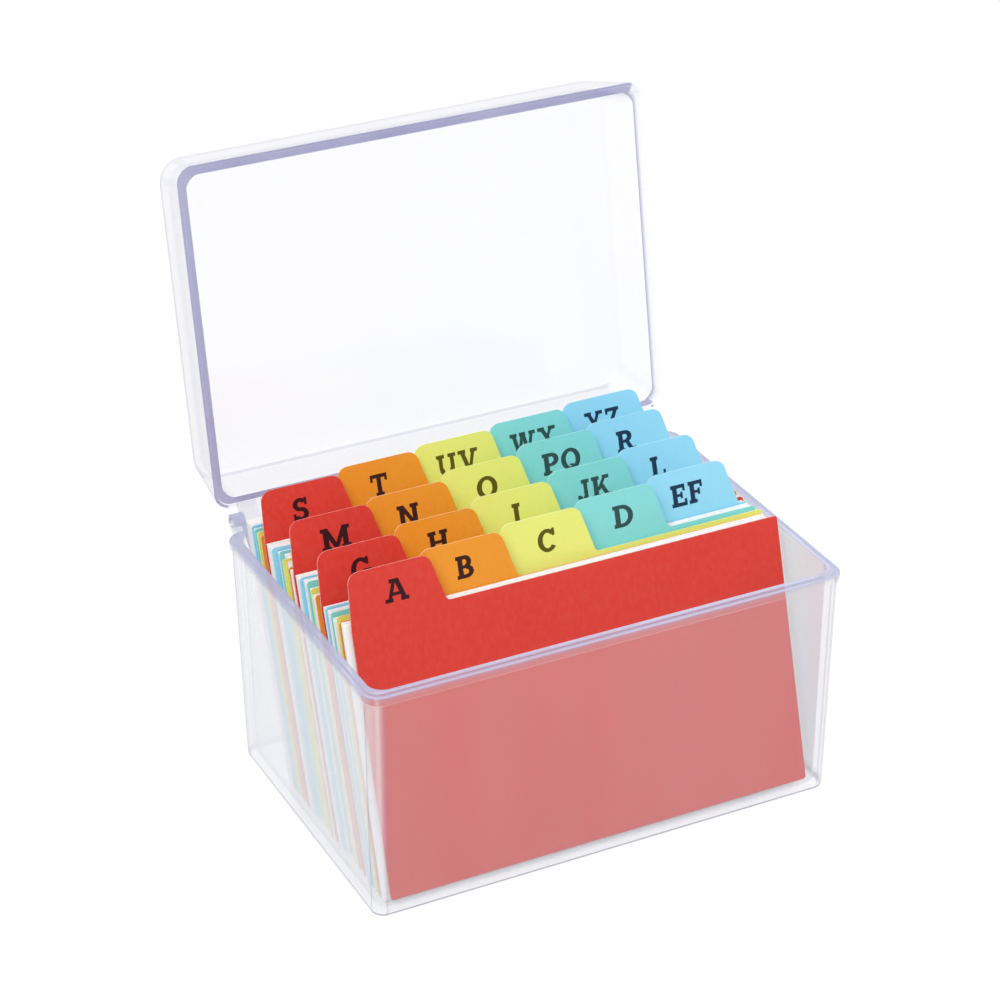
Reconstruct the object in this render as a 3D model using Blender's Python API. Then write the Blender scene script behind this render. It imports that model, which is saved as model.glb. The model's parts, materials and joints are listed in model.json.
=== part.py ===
"""Hinged-lid index card file: a clear box and lid, twenty lettered guides and the cards between them.

Units are metres and +Z is up. The origin is the middle of the underside of the box, the front faces -Y and the
lid stands open. Sizes below are written in millimetres and scaled once, by MM.
"""

import math

import bmesh
import bpy
from mathutils import Matrix, Vector

MM = 0.001

# box, outside
BOX_WIDTH = 140.6
BOX_DEPTH = 96.4
BOX_HEIGHT = 69.8
FOOT_WIDTH = 137.5
FOOT_DEPTH = 90.9
CORNER_RADIUS = 5.0
FOOT_CORNER_RADIUS = 3.6
INNER_CORNER_GAIN = 0.1
FOOT_EDGE_RADIUS = 1.2
FLOOR_THICKNESS = 1.5
WALL_AT_FOOT = 1.8

# rim of the box: a flange, an outer ledge and a raised inner lip
FLANGE_OVERHANG = 0.7
FLANGE_DEPTH = 3.0
RIM_WIDTH = 3.0
LEDGE_WIDTH = 1.3
LEDGE_DROP = 0.6
EDGE_BREAK = 0.2

# low ribs across the floor
RIB_PITCH = 15.0
RIB_COUNT = 5
RIB_FIRST_Y = -32.6
RIB_WIDTH = 1.0
RIB_HEIGHT = 0.5
RIB_LENGTH = 126.0
RIB_ROOT_DEPTH = 0.4
RIB_SIDE_HEIGHT = 0.1

# lid, as a tray that closes down on the rim
LID_WIDTH = 140.6
LID_DEPTH = 97.2
LID_HEIGHT = 20.4
LID_TAPER = 2.2
LID_WALL = 1.8
LID_PANEL = 1.5
LID_GAP = 0.3
LID_LIP_WIDTH = 1.1
LID_LIP_DROP = 0.6
LID_PANEL_CORNER_RADIUS = 7.0
LID_INNER_CORNER_LOSS = 1.0
LID_OPEN_DEG = 99.6

# hinge: ears on the box, arms with pins on the lid
HINGE_Y = 52.8
HINGE_Z = 69.8
EAR_INNER_X = 62.7
EAR_WIDTH = 3.3
EAR_RADIUS = 2.4
EAR_ROOT_DEPTH = 0.9
EAR_ROOT_LOW_Z = 60.5
EAR_ROOT_HIGH_Z = 67.8
ARM_WIDTH = 6.0
ARM_ROOT_DEPTH = 0.6
ARM_ROOT_LOW_Z = 70.6
ARM_ROOT_HIGH_Z = 75.8
PIN_RADIUS = 1.15
PIN_REACH = 3.3
SOCKET_RADIUS = 1.45
OVERSHOOT = 1.0

# guides and cards
GUIDE_WIDTH = 127.0
GUIDE_HEIGHT = 76.2
GUIDE_THICKNESS = 0.4
TAB_HEIGHT = 13.3
TAB_TOP_WIDTH = 22.9
TAB_PITCH = 24.15
TAB_FIRST_X = -62.5
TAB_SLANT = 3.6
TAB_TOP_RADIUS = 3.2
TAB_ROOT_RADIUS = 1.6
GUIDE_CORNER_RADIUS = 0.8
FIRST_TAB_ROOT_DROP = 2.0
GUIDE_CENTRE_X = -1.7
CARD_WIDTH = 126.2
STAND_Z = 2.45
GAP = 0.3
LAST_STACK_BACK_Y = 22.1

TAB_NAMES = ("red", "orange", "yellow", "teal", "blue")
TAB_COLOURS = {
    "red": (0.66, 0.045, 0.035),
    "orange": (0.80, 0.24, 0.02),
    "yellow": (0.80, 0.78, 0.10),
    "teal": (0.23, 0.66, 0.60),
    "blue": (0.20, 0.58, 0.84),
}

# label of each guide, where its foot stands, how far it leans back in degrees (never less than the one in
# front of it, or they would collide when lifted) and how far it sits to the right, then the left edge and the
# height of the cards behind it
GUIDES = (
    ("A", -42.4, 15.8, 2.2, -65.0, 76.3),
    ("B", -39.8, 15.8, 0.0, -64.4, 74.7),
    ("C", -37.5, 16.2, 0.6, -65.0, 75.0),
    ("D", -35.2, 16.7, 0.2, -64.8, 75.8),
    ("EF", -32.6, 17.2, 0.0, -64.7, 75.4),
    ("G", -29.9, 17.6, 0.2, -63.9, 75.1),
    ("H", -26.0, 17.6, 0.4, -64.4, 74.8),
    ("I", -22.1, 17.6, 0.8, -63.6, 74.6),
    ("JK", -18.4, 17.6, 1.3, -64.0, 75.7),
    ("L", -15.7, 17.6, 0.3, -64.6, 75.5),
    ("M", -11.6, 17.6, 0.3, -65.0, 75.7),
    ("N", -9.2, 17.6, 0.0, -63.9, 75.4),
    ("O", -4.6, 17.6, 0.2, -63.0, 75.7),
    ("PQ", -0.3, 17.6, 1.1, -63.9, 75.4),
    ("R", 2.2, 17.6, 0.0, -64.9, 75.5),
    ("S", 7.2, 17.6, 0.0, -64.3, 75.3),
    ("T", 10.2, 17.6, 0.1, -63.6, 75.2),
    ("UV", 12.3, 17.6, 0.0, -65.0, 75.0),
    ("WX", 14.3, 17.6, 0.0, -65.0, 75.5),
    ("YZ", 16.3, 17.6, 0.0, -64.8, 75.5),
)

# how finely corners, edges and the hinge's circles are cut
CORNER_STEPS = 6
EDGE_STEPS = 3
EAR_STEPS = 24


def make_material(name, colour, roughness, alpha=1.0):
    """A Principled material."""
    material = bpy.data.materials.new(name)
    material.use_nodes = True
    shader = material.node_tree.nodes["Principled BSDF"]
    shader.inputs["Base Color"].default_value = (*colour, 1.0)
    shader.inputs["Roughness"].default_value = roughness
    shader.inputs["Metallic"].default_value = 0.0
    shader.inputs["Alpha"].default_value = alpha
    return material


def make_object(name, mesh_builder, material):
    """An object named name whose mesh comes from a bmesh, in metres."""
    mesh = bpy.data.meshes.new(name)
    bmesh.ops.scale(mesh_builder, vec=(MM, MM, MM), verts=mesh_builder.verts)
    bmesh.ops.recalc_face_normals(mesh_builder, faces=mesh_builder.faces)
    mesh_builder.to_mesh(mesh)
    mesh_builder.free()
    mesh.materials.append(material)
    thing = bpy.data.objects.new(name, mesh)
    bpy.context.scene.collection.objects.link(thing)
    return thing


def shade_rounded(thing, angle_deg=40.0):
    """Smooth shading with sharp edges kept where the surface turns by more than an angle."""
    thing.data.shade_smooth()
    thing.data.set_sharp_from_angle(angle=math.radians(angle_deg))


def rounded_ring(half_x, half_y, radius):
    """The points of a rounded rectangle, anticlockwise from the right side."""
    points = []
    centres = ((1, 1), (-1, 1), (-1, -1), (1, -1))
    for quarter, (sign_x, sign_y) in enumerate(centres):
        centre_x = sign_x * (half_x - radius)
        centre_y = sign_y * (half_y - radius)
        for step in range(CORNER_STEPS + 1):
            angle = math.pi / 2 * (quarter + step / CORNER_STEPS)
            points.append(
                (centre_x + radius * math.cos(angle), centre_y + radius * math.sin(angle))
            )
    return points


def tray_mesh(sections):
    """A closed tray from rounded rectangles listed from the outside of its floor to the inside of its floor."""
    builder = bmesh.new()
    rings = []
    for half_x, half_y, radius, height in sections:
        ring = [
            builder.verts.new((x, y, height))
            for x, y in rounded_ring(half_x, half_y, radius)
        ]
        rings.append(ring)
    count = len(rings[0])
    for lower, upper in zip(rings, rings[1:]):
        for index in range(count):
            following = (index + 1) % count
            builder.faces.new(
                (lower[index], lower[following], upper[following], upper[index])
            )
    builder.faces.new(list(reversed(rings[0])))
    builder.faces.new(rings[-1])
    return builder


def quarter_turn(radius):
    """Offsets (inward, up) round a quarter circle, from flat on the floor to upright."""
    steps = []
    for step in range(EDGE_STEPS + 1):
        angle = math.pi / 2 * step / EDGE_STEPS
        steps.append((radius * (1 - math.sin(angle)), radius * (1 - math.cos(angle))))
    return steps


def box_sections():
    """The sections of the box, out of its floor, over its rim and down inside."""
    foot_x = FOOT_WIDTH / 2
    foot_y = FOOT_DEPTH / 2
    rim_x = BOX_WIDTH / 2
    rim_y = BOX_DEPTH / 2
    ledge_z = BOX_HEIGHT - LEDGE_DROP
    under_z = BOX_HEIGHT - FLANGE_DEPTH
    sections = []
    for inward, up in quarter_turn(FOOT_EDGE_RADIUS):
        radius = FOOT_CORNER_RADIUS - inward
        sections.append((foot_x - inward, foot_y - inward, radius, up))
    neck = FLANGE_OVERHANG
    sections.append((rim_x - neck, rim_y - neck, CORNER_RADIUS - neck, under_z))
    sections.append((rim_x, rim_y, CORNER_RADIUS, under_z + EDGE_BREAK))
    sections.append((rim_x, rim_y, CORNER_RADIUS, ledge_z - EDGE_BREAK))
    outer = EDGE_BREAK
    sections.append((rim_x - outer, rim_y - outer, CORNER_RADIUS - outer, ledge_z))
    ledge = LEDGE_WIDTH
    sections.append((rim_x - ledge, rim_y - ledge, CORNER_RADIUS - ledge, ledge_z))
    lip_low_z = BOX_HEIGHT - EDGE_BREAK
    sections.append((rim_x - ledge, rim_y - ledge, CORNER_RADIUS - ledge, lip_low_z))
    lip = LEDGE_WIDTH + EDGE_BREAK
    sections.append((rim_x - lip, rim_y - lip, CORNER_RADIUS - lip, BOX_HEIGHT))
    inner = RIM_WIDTH - EDGE_BREAK
    inner_radius = CORNER_RADIUS - neck + INNER_CORNER_GAIN
    sections.append((rim_x - inner, rim_y - inner, inner_radius, BOX_HEIGHT))
    inner = RIM_WIDTH
    sections.append((rim_x - inner, rim_y - inner, inner_radius, lip_low_z))
    floor_x = foot_x - WALL_AT_FOOT
    floor_y = foot_y - WALL_AT_FOOT
    floor_radius = FOOT_CORNER_RADIUS + INNER_CORNER_GAIN
    for inward, up in reversed(quarter_turn(FOOT_EDGE_RADIUS)):
        height = FLOOR_THICKNESS + up
        sections.append((floor_x - inward, floor_y - inward, floor_radius, height))
    return sections


def lid_sections():
    """The sections of the lid, from its panel down outside, over its rim and back up inside."""
    rim_x = LID_WIDTH / 2
    rim_y = LID_DEPTH / 2
    rim_z = BOX_HEIGHT + LID_GAP
    lip_z = rim_z - LID_LIP_DROP
    top_z = rim_z + LID_HEIGHT
    top_x = rim_x - LID_TAPER
    top_y = rim_y - LID_TAPER
    sections = []
    for inward, down in quarter_turn(FOOT_EDGE_RADIUS):
        radius = LID_PANEL_CORNER_RADIUS - inward
        sections.append((top_x - inward, top_y - inward, radius, top_z - down))
    sections.append((rim_x, rim_y, CORNER_RADIUS, lip_z + EDGE_BREAK))
    outer = EDGE_BREAK
    sections.append((rim_x - outer, rim_y - outer, CORNER_RADIUS - outer, lip_z))
    lip = LID_LIP_WIDTH
    sections.append((rim_x - lip, rim_y - lip, CORNER_RADIUS - lip, lip_z))
    sections.append((rim_x - lip, rim_y - lip, CORNER_RADIUS - lip, rim_z))
    inner = RIM_WIDTH - EDGE_BREAK
    rim_radius = CORNER_RADIUS - LID_INNER_CORNER_LOSS
    sections.append((rim_x - inner, rim_y - inner, rim_radius, rim_z))
    inner = RIM_WIDTH
    sections.append((rim_x - inner, rim_y - inner, rim_radius, rim_z + EDGE_BREAK))
    inner_x = top_x - LID_WALL
    inner_y = top_y - LID_WALL
    inner_radius = LID_PANEL_CORNER_RADIUS - LID_INNER_CORNER_LOSS
    inner_top_z = top_z - LID_PANEL
    for inward, down in reversed(quarter_turn(FOOT_EDGE_RADIUS)):
        height = inner_top_z - down
        sections.append((inner_x - inward, inner_y - inward, inner_radius, height))
    return sections


def add_prism(builder, profile, x_from, x_to):
    """A closed prism along X from points (y, z) listed round its outline."""
    near = [builder.verts.new((x_from, y, z)) for y, z in profile]
    far = [builder.verts.new((x_to, y, z)) for y, z in profile]
    count = len(profile)
    for index in range(count):
        following = (index + 1) % count
        builder.faces.new((near[index], near[following], far[following], far[index]))
    builder.faces.new(list(reversed(near)))
    builder.faces.new(far)


def hull_outline(points):
    """The convex outline of points, anticlockwise."""
    ordered = sorted(set(points))

    def half(chain_points):
        chain = []
        for point in chain_points:
            while len(chain) > 1:
                (ay, az), (by, bz) = chain[-2], chain[-1]
                turn = (by - ay) * (point[1] - az) - (bz - az) * (point[0] - ay)
                if turn > 0:
                    break
                chain.pop()
            chain.append(point)
        return chain[:-1]

    return half(ordered) + half(list(reversed(ordered)))


def hinge_circle(radius):
    """Points (y, z) round the hinge line."""
    points = []
    for step in range(EAR_STEPS):
        angle = math.tau * step / EAR_STEPS
        points.append((HINGE_Y + radius * math.cos(angle), HINGE_Z + radius * math.sin(angle)))
    return points


def ear_outline():
    """The side view of an ear of the box, rooted in its back wall."""
    root_y = BOX_DEPTH / 2 - FLANGE_OVERHANG - EAR_ROOT_DEPTH
    root = [(root_y, EAR_ROOT_HIGH_Z), (root_y, EAR_ROOT_LOW_Z)]
    return hull_outline(hinge_circle(EAR_RADIUS) + root)


def arm_outline():
    """The side view of an arm of the closed lid, rooted in its hinge wall."""
    root_y = LID_DEPTH / 2 - ARM_ROOT_DEPTH
    root = [(root_y, ARM_ROOT_LOW_Z), (root_y, ARM_ROOT_HIGH_Z)]
    return hull_outline(hinge_circle(EAR_RADIUS) + root)


def helper_object(name, builder):
    """A shape that is only used by a boolean modifier, so it is not rendered."""
    mesh = bpy.data.meshes.new(name)
    bmesh.ops.scale(builder, vec=(MM, MM, MM), verts=builder.verts)
    bmesh.ops.recalc_face_normals(builder, faces=builder.faces)
    builder.to_mesh(mesh)
    builder.free()
    thing = bpy.data.objects.new(name, mesh)
    bpy.context.scene.collection.objects.link(thing)
    thing.hide_render = True
    thing.display_type = "WIRE"
    return thing


def add_boolean(thing, helper, operation):
    """An exact boolean modifier."""
    modifier = thing.modifiers.new(helper.name, "BOOLEAN")
    modifier.solver = "EXACT"
    modifier.operation = operation
    modifier.object = helper


def build_box(material):
    """The box: floor, four drafted walls, stepped rim, floor ribs and two hinge ears."""
    box = make_object("box_base", tray_mesh(box_sections()), material)

    ribs = bmesh.new()
    rib_low_z = FLOOR_THICKNESS - RIB_ROOT_DEPTH
    rib_side_z = FLOOR_THICKNESS + RIB_SIDE_HEIGHT
    rib_high_z = FLOOR_THICKNESS + RIB_HEIGHT
    for index in range(RIB_COUNT):
        middle = RIB_FIRST_Y + RIB_PITCH * index
        foot = RIB_WIDTH / 2
        crown = RIB_WIDTH / 4
        outline = [
            (middle - foot, rib_low_z),
            (middle + foot, rib_low_z),
            (middle + foot, rib_side_z),
            (middle + crown, rib_high_z),
            (middle - crown, rib_high_z),
            (middle - foot, rib_side_z),
        ]
        add_prism(ribs, outline, -RIB_LENGTH / 2, RIB_LENGTH / 2)
    add_boolean(box, helper_object("rib_shapes", ribs), "UNION")

    ears = bmesh.new()
    ear_outer_x = EAR_INNER_X + EAR_WIDTH
    add_prism(ears, ear_outline(), EAR_INNER_X, ear_outer_x)
    add_prism(ears, ear_outline(), -ear_outer_x, -EAR_INNER_X)
    add_boolean(box, helper_object("ear_shapes", ears), "UNION")

    sockets = bmesh.new()
    socket = hinge_circle(SOCKET_RADIUS)
    socket_from_x = EAR_INNER_X - OVERSHOOT
    socket_to_x = ear_outer_x + OVERSHOOT
    add_prism(sockets, socket, socket_from_x, socket_to_x)
    add_prism(sockets, socket, -socket_to_x, -socket_from_x)
    add_boolean(box, helper_object("socket_shapes", sockets), "DIFFERENCE")
    shade_rounded(box)


def build_lid(material):
    """The lid with its two hinge arms and pins, turned back on the hinge line to stand open."""
    hinge = Vector((0.0, HINGE_Y, HINGE_Z)) * MM
    lid = make_object("lid", tray_mesh(lid_sections()), material)
    lid.data.transform(Matrix.Translation(-hinge))

    arm_outer_x = EAR_INNER_X - GAP
    arm_inner_x = arm_outer_x - ARM_WIDTH
    arms = bmesh.new()
    add_prism(arms, arm_outline(), arm_inner_x, arm_outer_x)
    add_prism(arms, arm_outline(), -arm_outer_x, -arm_inner_x)
    pins = bmesh.new()
    pin = hinge_circle(PIN_RADIUS)
    pin_root_x = arm_outer_x - OVERSHOOT
    pin_end_x = arm_outer_x + PIN_REACH
    add_prism(pins, pin, pin_root_x, pin_end_x)
    add_prism(pins, pin, -pin_end_x, -pin_root_x)
    for name, builder in (("arm_shapes", arms), ("pin_shapes", pins)):
        helper = helper_object(name, builder)
        helper.data.transform(Matrix.Translation(-hinge))
        helper.parent = lid
        add_boolean(lid, helper, "UNION")
    shade_rounded(lid)
    lid.location = hinge
    lid.rotation_euler = (-math.radians(LID_OPEN_DEG), 0.0, 0.0)


def fillet_outline(corners):
    """Round the corners (x, y, radius) of an outline and return its points."""
    points = []
    count = len(corners)
    for index in range(count):
        x, y, radius = corners[index]
        here = Vector((x, y))
        before = Vector(corners[index - 1][:2]) - here
        after = Vector(corners[(index + 1) % count][:2]) - here
        if radius == 0.0:
            points.append((x, y))
            continue
        half_angle = before.angle(after) / 2
        reach = radius / math.tan(half_angle)
        start = here + before.normalized() * reach
        finish = here + after.normalized() * reach
        middle = (before.normalized() + after.normalized()).normalized()
        centre = here + middle * (radius / math.sin(half_angle))
        first = math.atan2(start.y - centre.y, start.x - centre.x)
        last = math.atan2(finish.y - centre.y, finish.x - centre.x)
        sweep = (last - first + math.pi) % math.tau - math.pi
        for step in range(CORNER_STEPS + 1):
            angle = first + sweep * step / CORNER_STEPS
            points.append((centre.x + radius * math.cos(angle), centre.y + radius * math.sin(angle)))
    return points


def guide_outline(position):
    """The face of a guide whose tab is the position-th from the left, from 0."""
    half = GUIDE_WIDTH / 2
    top = GUIDE_HEIGHT + TAB_HEIGHT
    tab_left = TAB_FIRST_X + TAB_PITCH * position
    tab_right = tab_left + TAB_TOP_WIDTH
    root_left = tab_left - TAB_SLANT
    root_right = tab_right + TAB_SLANT
    corners = [
        (-half, 0.0, GUIDE_CORNER_RADIUS),
        (half, 0.0, GUIDE_CORNER_RADIUS),
        (half, GUIDE_HEIGHT, GUIDE_CORNER_RADIUS),
        (root_right, GUIDE_HEIGHT, TAB_ROOT_RADIUS),
        (tab_right, top, TAB_TOP_RADIUS),
        (tab_left, top, TAB_TOP_RADIUS),
    ]
    if position == 0:
        corners.append((-half, GUIDE_HEIGHT - FIRST_TAB_ROOT_DROP, 0.0))
    else:
        corners.append((root_left, GUIDE_HEIGHT, TAB_ROOT_RADIUS))
        corners.append((-half, GUIDE_HEIGHT, GUIDE_CORNER_RADIUS))
    return fillet_outline(corners)


def build_guide(label, position, material):
    """A lettered guide: a thin sheet with one tab, its origin in the middle of its foot."""
    builder = bmesh.new()
    outline = guide_outline(position)
    front = [builder.verts.new((x, 0.0, z)) for x, z in outline]
    back = [builder.verts.new((x, GUIDE_THICKNESS, z)) for x, z in outline]
    count = len(outline)
    for index in range(count):
        following = (index + 1) % count
        builder.faces.new((front[index], front[following], back[following], back[index]))
    builder.faces.new(list(reversed(front)))
    builder.faces.new(back)
    return make_object("guide_" + label, builder, material)


def build_cards(label, foot_y, lean, next_foot_y, next_lean, height, material):
    """The cards filed behind a guide: a block of sheets standing on their feet and leaning with the guide."""
    front_y = (GUIDE_THICKNESS + GAP) / math.cos(lean)
    back_y = next_foot_y - GAP / math.cos(next_lean) - foot_y
    rise_y = height * math.sin(lean)
    rise_z = height * math.cos(lean)
    outline = [
        (front_y, 0.0),
        (back_y, 0.0),
        (back_y + rise_y, rise_z),
        (front_y + rise_y, rise_z),
    ]
    builder = bmesh.new()
    add_prism(builder, outline, -CARD_WIDTH / 2, CARD_WIDTH / 2)
    return make_object("cards_" + label, builder, material)


def build_contents():
    """All guides and the cards behind each of them."""
    materials = {}
    for name in TAB_NAMES:
        materials[name] = make_material("guide_" + name, TAB_COLOURS[name], 0.45)
    card_material = make_material("card_stock", (0.87, 0.87, 0.85), 0.7)
    for index, (label, foot_y, lean_deg, shift_x, cards_left_x, cards_height) in enumerate(GUIDES):
        position = index % len(TAB_NAMES)
        lean = math.radians(lean_deg)
        guide = build_guide(label, position, materials[TAB_NAMES[position]])
        guide.location = Vector((GUIDE_CENTRE_X + shift_x, foot_y, STAND_Z)) * MM
        guide.rotation_euler = (-lean, 0.0, 0.0)
        if index + 1 < len(GUIDES):
            next_foot_y = GUIDES[index + 1][1]
            next_lean = math.radians(GUIDES[index + 1][2])
        else:
            next_foot_y = LAST_STACK_BACK_Y
            next_lean = lean
        cards = build_cards(
            label, foot_y, lean, next_foot_y, next_lean, cards_height, card_material
        )
        cards.location = Vector((cards_left_x + CARD_WIDTH / 2, foot_y, STAND_Z)) * MM


def main():
    for thing in list(bpy.data.objects):
        bpy.data.objects.remove(thing, do_unlink=True)
    clear = make_material("clear_polystyrene", (0.86, 0.86, 0.92), 0.08, alpha=0.3)
    build_box(clear)
    build_lid(clear)
    build_contents()


main()
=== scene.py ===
"""Looks of the hinged-lid card file: clear box and lid, lettered guides, ruled cards, floor and light.

Lengths are written in millimetres and scaled once by MM, except in shader nodes, which read metres.
The origin is the middle of the underside of the box, the front faces -Y and the lid stands open.
"""
import json
import math
import random

import bmesh
import bpy
from mathutils import Matrix, Vector
from mathutils.geometry import delaunay_2d_cdt


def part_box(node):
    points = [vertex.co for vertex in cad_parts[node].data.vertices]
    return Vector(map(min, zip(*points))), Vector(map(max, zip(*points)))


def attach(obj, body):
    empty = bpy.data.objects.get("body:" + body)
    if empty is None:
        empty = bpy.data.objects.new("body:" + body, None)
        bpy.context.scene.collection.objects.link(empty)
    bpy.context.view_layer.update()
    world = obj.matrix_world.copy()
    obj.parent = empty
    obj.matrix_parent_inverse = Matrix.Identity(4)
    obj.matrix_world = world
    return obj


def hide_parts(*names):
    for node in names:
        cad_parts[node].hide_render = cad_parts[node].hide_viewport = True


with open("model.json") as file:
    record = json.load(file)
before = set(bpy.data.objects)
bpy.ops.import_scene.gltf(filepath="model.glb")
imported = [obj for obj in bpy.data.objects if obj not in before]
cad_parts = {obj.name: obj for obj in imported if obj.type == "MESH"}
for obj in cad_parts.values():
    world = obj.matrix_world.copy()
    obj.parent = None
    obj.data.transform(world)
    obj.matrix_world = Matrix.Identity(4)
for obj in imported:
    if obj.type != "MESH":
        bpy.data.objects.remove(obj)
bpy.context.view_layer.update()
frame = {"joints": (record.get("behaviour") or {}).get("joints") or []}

MM = 0.001

# box and lid, as in the CAD part
BOX_WIDTH = 140.6
BOX_DEPTH = 96.4
BOX_HEIGHT = 69.8
FOOT_WIDTH = 137.5
FOOT_DEPTH = 90.9
CORNER_RADIUS = 5.0
FOOT_CORNER_RADIUS = 3.6
INNER_CORNER_GAIN = 0.1
BASE_ROUND = 1.2
BASE_BAND = 2.8
BASE_BAND_EDGE = 0.4
FLOOR_MARGIN = 2.0
FLOOR_THICKNESS = 1.5
WALL = 1.8
FLANGE_OVERHANG = 0.7
FLANGE_DEPTH = 3.0
RIM_WIDTH = 3.0
LEDGE_WIDTH = 1.3
LEDGE_DROP = 0.6
RIB_PITCH = 15.0
RIB_COUNT = 5
RIB_FIRST_Y = -32.6
RIB_WIDTH = 1.0
RIB_HEIGHT = 0.5
RIB_LENGTH = 126.0
RIB_ROUND = 0.24
RIB_SUNK = 0.4
LID_WIDTH = 140.6
LID_DEPTH = 97.2
LID_HEIGHT = 20.4
LID_TAPER = 2.2
LID_PANEL = 1.5
LID_LIP_WIDTH = 1.1
LID_PANEL_CORNER_RADIUS = 7.0
LID_INNER_CORNER_LOSS = 1.0
LID_GAP = 0.3
LID_OPEN_DEG = 99.6
HINGE_Y = 52.8
HINGE_Z = 69.8
EAR_INNER_X = 62.7
EAR_WIDTH = 3.3
EAR_RADIUS = 2.4
EAR_ROOT = ((46.6, 67.8), (46.6, 60.5))
ARM_ROOT = ((48.0, 70.6), (48.0, 75.8))
ARM_WIDTH = 6.0
PIN_RADIUS = 1.15
PIN_REACH = 3.3
SOCKET_RADIUS = 1.45
PART_GAP = 0.3
# how far pins are sunk into their arms, and the sockets' cutters stand out of the ears
OVERLAP = 1.0

# guides and cards
GUIDE_WIDTH = 127.0
GUIDE_HEIGHT = 76.2
GUIDE_THICKNESS = 0.4
TAB_HEIGHT = 13.3
TAB_TOP_WIDTH = 22.9
TAB_PITCH = 24.15
TAB_FIRST_X = -62.5
TAB_SLANT = 3.6
TAB_TOP_RADIUS = 3.2
TAB_ROOT_RADIUS = 1.6
GUIDE_CORNER_RADIUS = 0.8
FIRST_TAB_ROOT_DROP = 2.0
CARD_WIDTH = 126.0
CARD_THICKNESS = 0.2
CARD_PITCH = 0.31

# label of each guide and how far its letters sit to the right of the middle of its tab
LABELS = {
    "A": 1.3, "B": 0.3, "C": 1.1, "D": 2.0, "EF": -0.4,
    "G": 0.2, "H": 0.0, "I": 0.7, "JK": 1.6, "L": 0.0,
    "M": 0.9, "N": -0.5, "O": 1.0, "PQ": 1.4, "R": 0.0,
    "S": -0.9, "T": -0.4, "UV": 0.4, "WX": 1.0, "YZ": 0.0,
}
TAB_NAMES = ("red", "orange", "yellow", "teal", "blue")
BOARD = {
    "red": (0.655, 0.038, 0.024),
    "orange": (0.79, 0.285, 0.014),
    "yellow": (0.765, 0.80, 0.180),
    "teal": (0.225, 0.665, 0.66),
    "blue": (0.285, 0.67, 0.88),
}
INK = {
    "red": (0.035, 0.006, 0.010),
    "orange": (0.040, 0.012, 0.008),
    "yellow": (0.105, 0.085, 0.006),
    "teal": (0.030, 0.075, 0.072),
    "blue": (0.010, 0.035, 0.075),
}

# how finely upright corners, small fillets, the guides' corners and the hinge's circles are cut
CORNER_STEPS = 12
FILLET_STEPS = 4
GUIDE_CORNER_STEPS = 8
HINGE_STEPS = 40

PLASTIC_SMOOTH_DEG = 32.0
PAPER_SMOOTH_DEG = 35.0

random.seed(20)


# ---------------------------------------------------------------- mesh tools


def link(name, mesh, material):
    """An object named name with one material, linked to the scene."""
    thing = bpy.data.objects.new(name, mesh)
    thing.data.materials.append(material)
    bpy.context.scene.collection.objects.link(thing)
    return thing


def to_mesh(name, builder):
    """A mesh in metres from a bmesh in millimetres, with its faces turned outwards."""
    bmesh.ops.scale(builder, vec=(MM, MM, MM), verts=builder.verts)
    bmesh.ops.recalc_face_normals(builder, faces=builder.faces)
    mesh = bpy.data.meshes.new(name)
    builder.to_mesh(mesh)
    builder.free()
    return mesh


def smooth_by_angle(thing, angle_deg):
    """Smooth shading that keeps edges sharper than an angle, with wide faces setting the normals."""
    thing.data.shade_smooth()
    thing.data.set_sharp_from_angle(angle=math.radians(angle_deg))
    weighted = thing.modifiers.new("weighted", "WEIGHTED_NORMAL")
    weighted.keep_sharp = True


def fillet(corners, closed=True, steps=FILLET_STEPS):
    """Round the corners (x, y, radius) of an outline and return its points."""
    points = []
    count = len(corners)
    for index, (x, y, radius) in enumerate(corners):
        at_end = not closed and index in (0, count - 1)
        if radius == 0.0 or at_end:
            points.append((x, y))
            continue
        here = Vector((x, y))
        before = (Vector(corners[index - 1][:2]) - here).normalized()
        after = (Vector(corners[(index + 1) % count][:2]) - here).normalized()
        half_angle = before.angle(after) / 2
        start = here + before * (radius / math.tan(half_angle))
        finish = here + after * (radius / math.tan(half_angle))
        centre = here + (before + after).normalized() * (radius / math.sin(half_angle))
        first = math.atan2(start.y - centre.y, start.x - centre.x)
        last = math.atan2(finish.y - centre.y, finish.x - centre.x)
        sweep = (last - first + math.pi) % math.tau - math.pi
        for step in range(steps + 1):
            angle = first + sweep * step / steps
            points.append((centre.x + radius * math.cos(angle), centre.y + radius * math.sin(angle)))
    return points


def rounded_ring(half_x, half_y, radius):
    """The points of a rounded rectangle, anticlockwise from the right side."""
    points = []
    for quarter, (sign_x, sign_y) in enumerate(((1, 1), (-1, 1), (-1, -1), (1, -1))):
        for step in range(CORNER_STEPS + 1):
            angle = math.pi / 2 * (quarter + step / CORNER_STEPS)
            x = sign_x * (half_x - radius) + radius * math.cos(angle)
            y = sign_y * (half_y - radius) + radius * math.sin(angle)
            points.append((x, y))
    return points


def tray(name, profile, half_at, inner_gain):
    """A closed tray: profile lists (inset, z) from the outside of its floor to the inside of its floor."""
    builder = bmesh.new()
    rings = []
    for inset, z in profile:
        half_x, half_y, corner = half_at(z)
        radius = corner + inner_gain if inset > RIM_WIDTH / 2 else corner - inset
        ring = rounded_ring(half_x - inset, half_y - inset, radius)
        rings.append([builder.verts.new((x, y, z)) for x, y in ring])
    count = len(rings[0])
    for lower, upper in zip(rings, rings[1:]):
        for index in range(count):
            after = (index + 1) % count
            builder.faces.new((lower[index], lower[after], upper[after], upper[index]))
    builder.faces.new(list(reversed(rings[0])))
    builder.faces.new(rings[-1])
    return to_mesh(name, builder)


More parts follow.
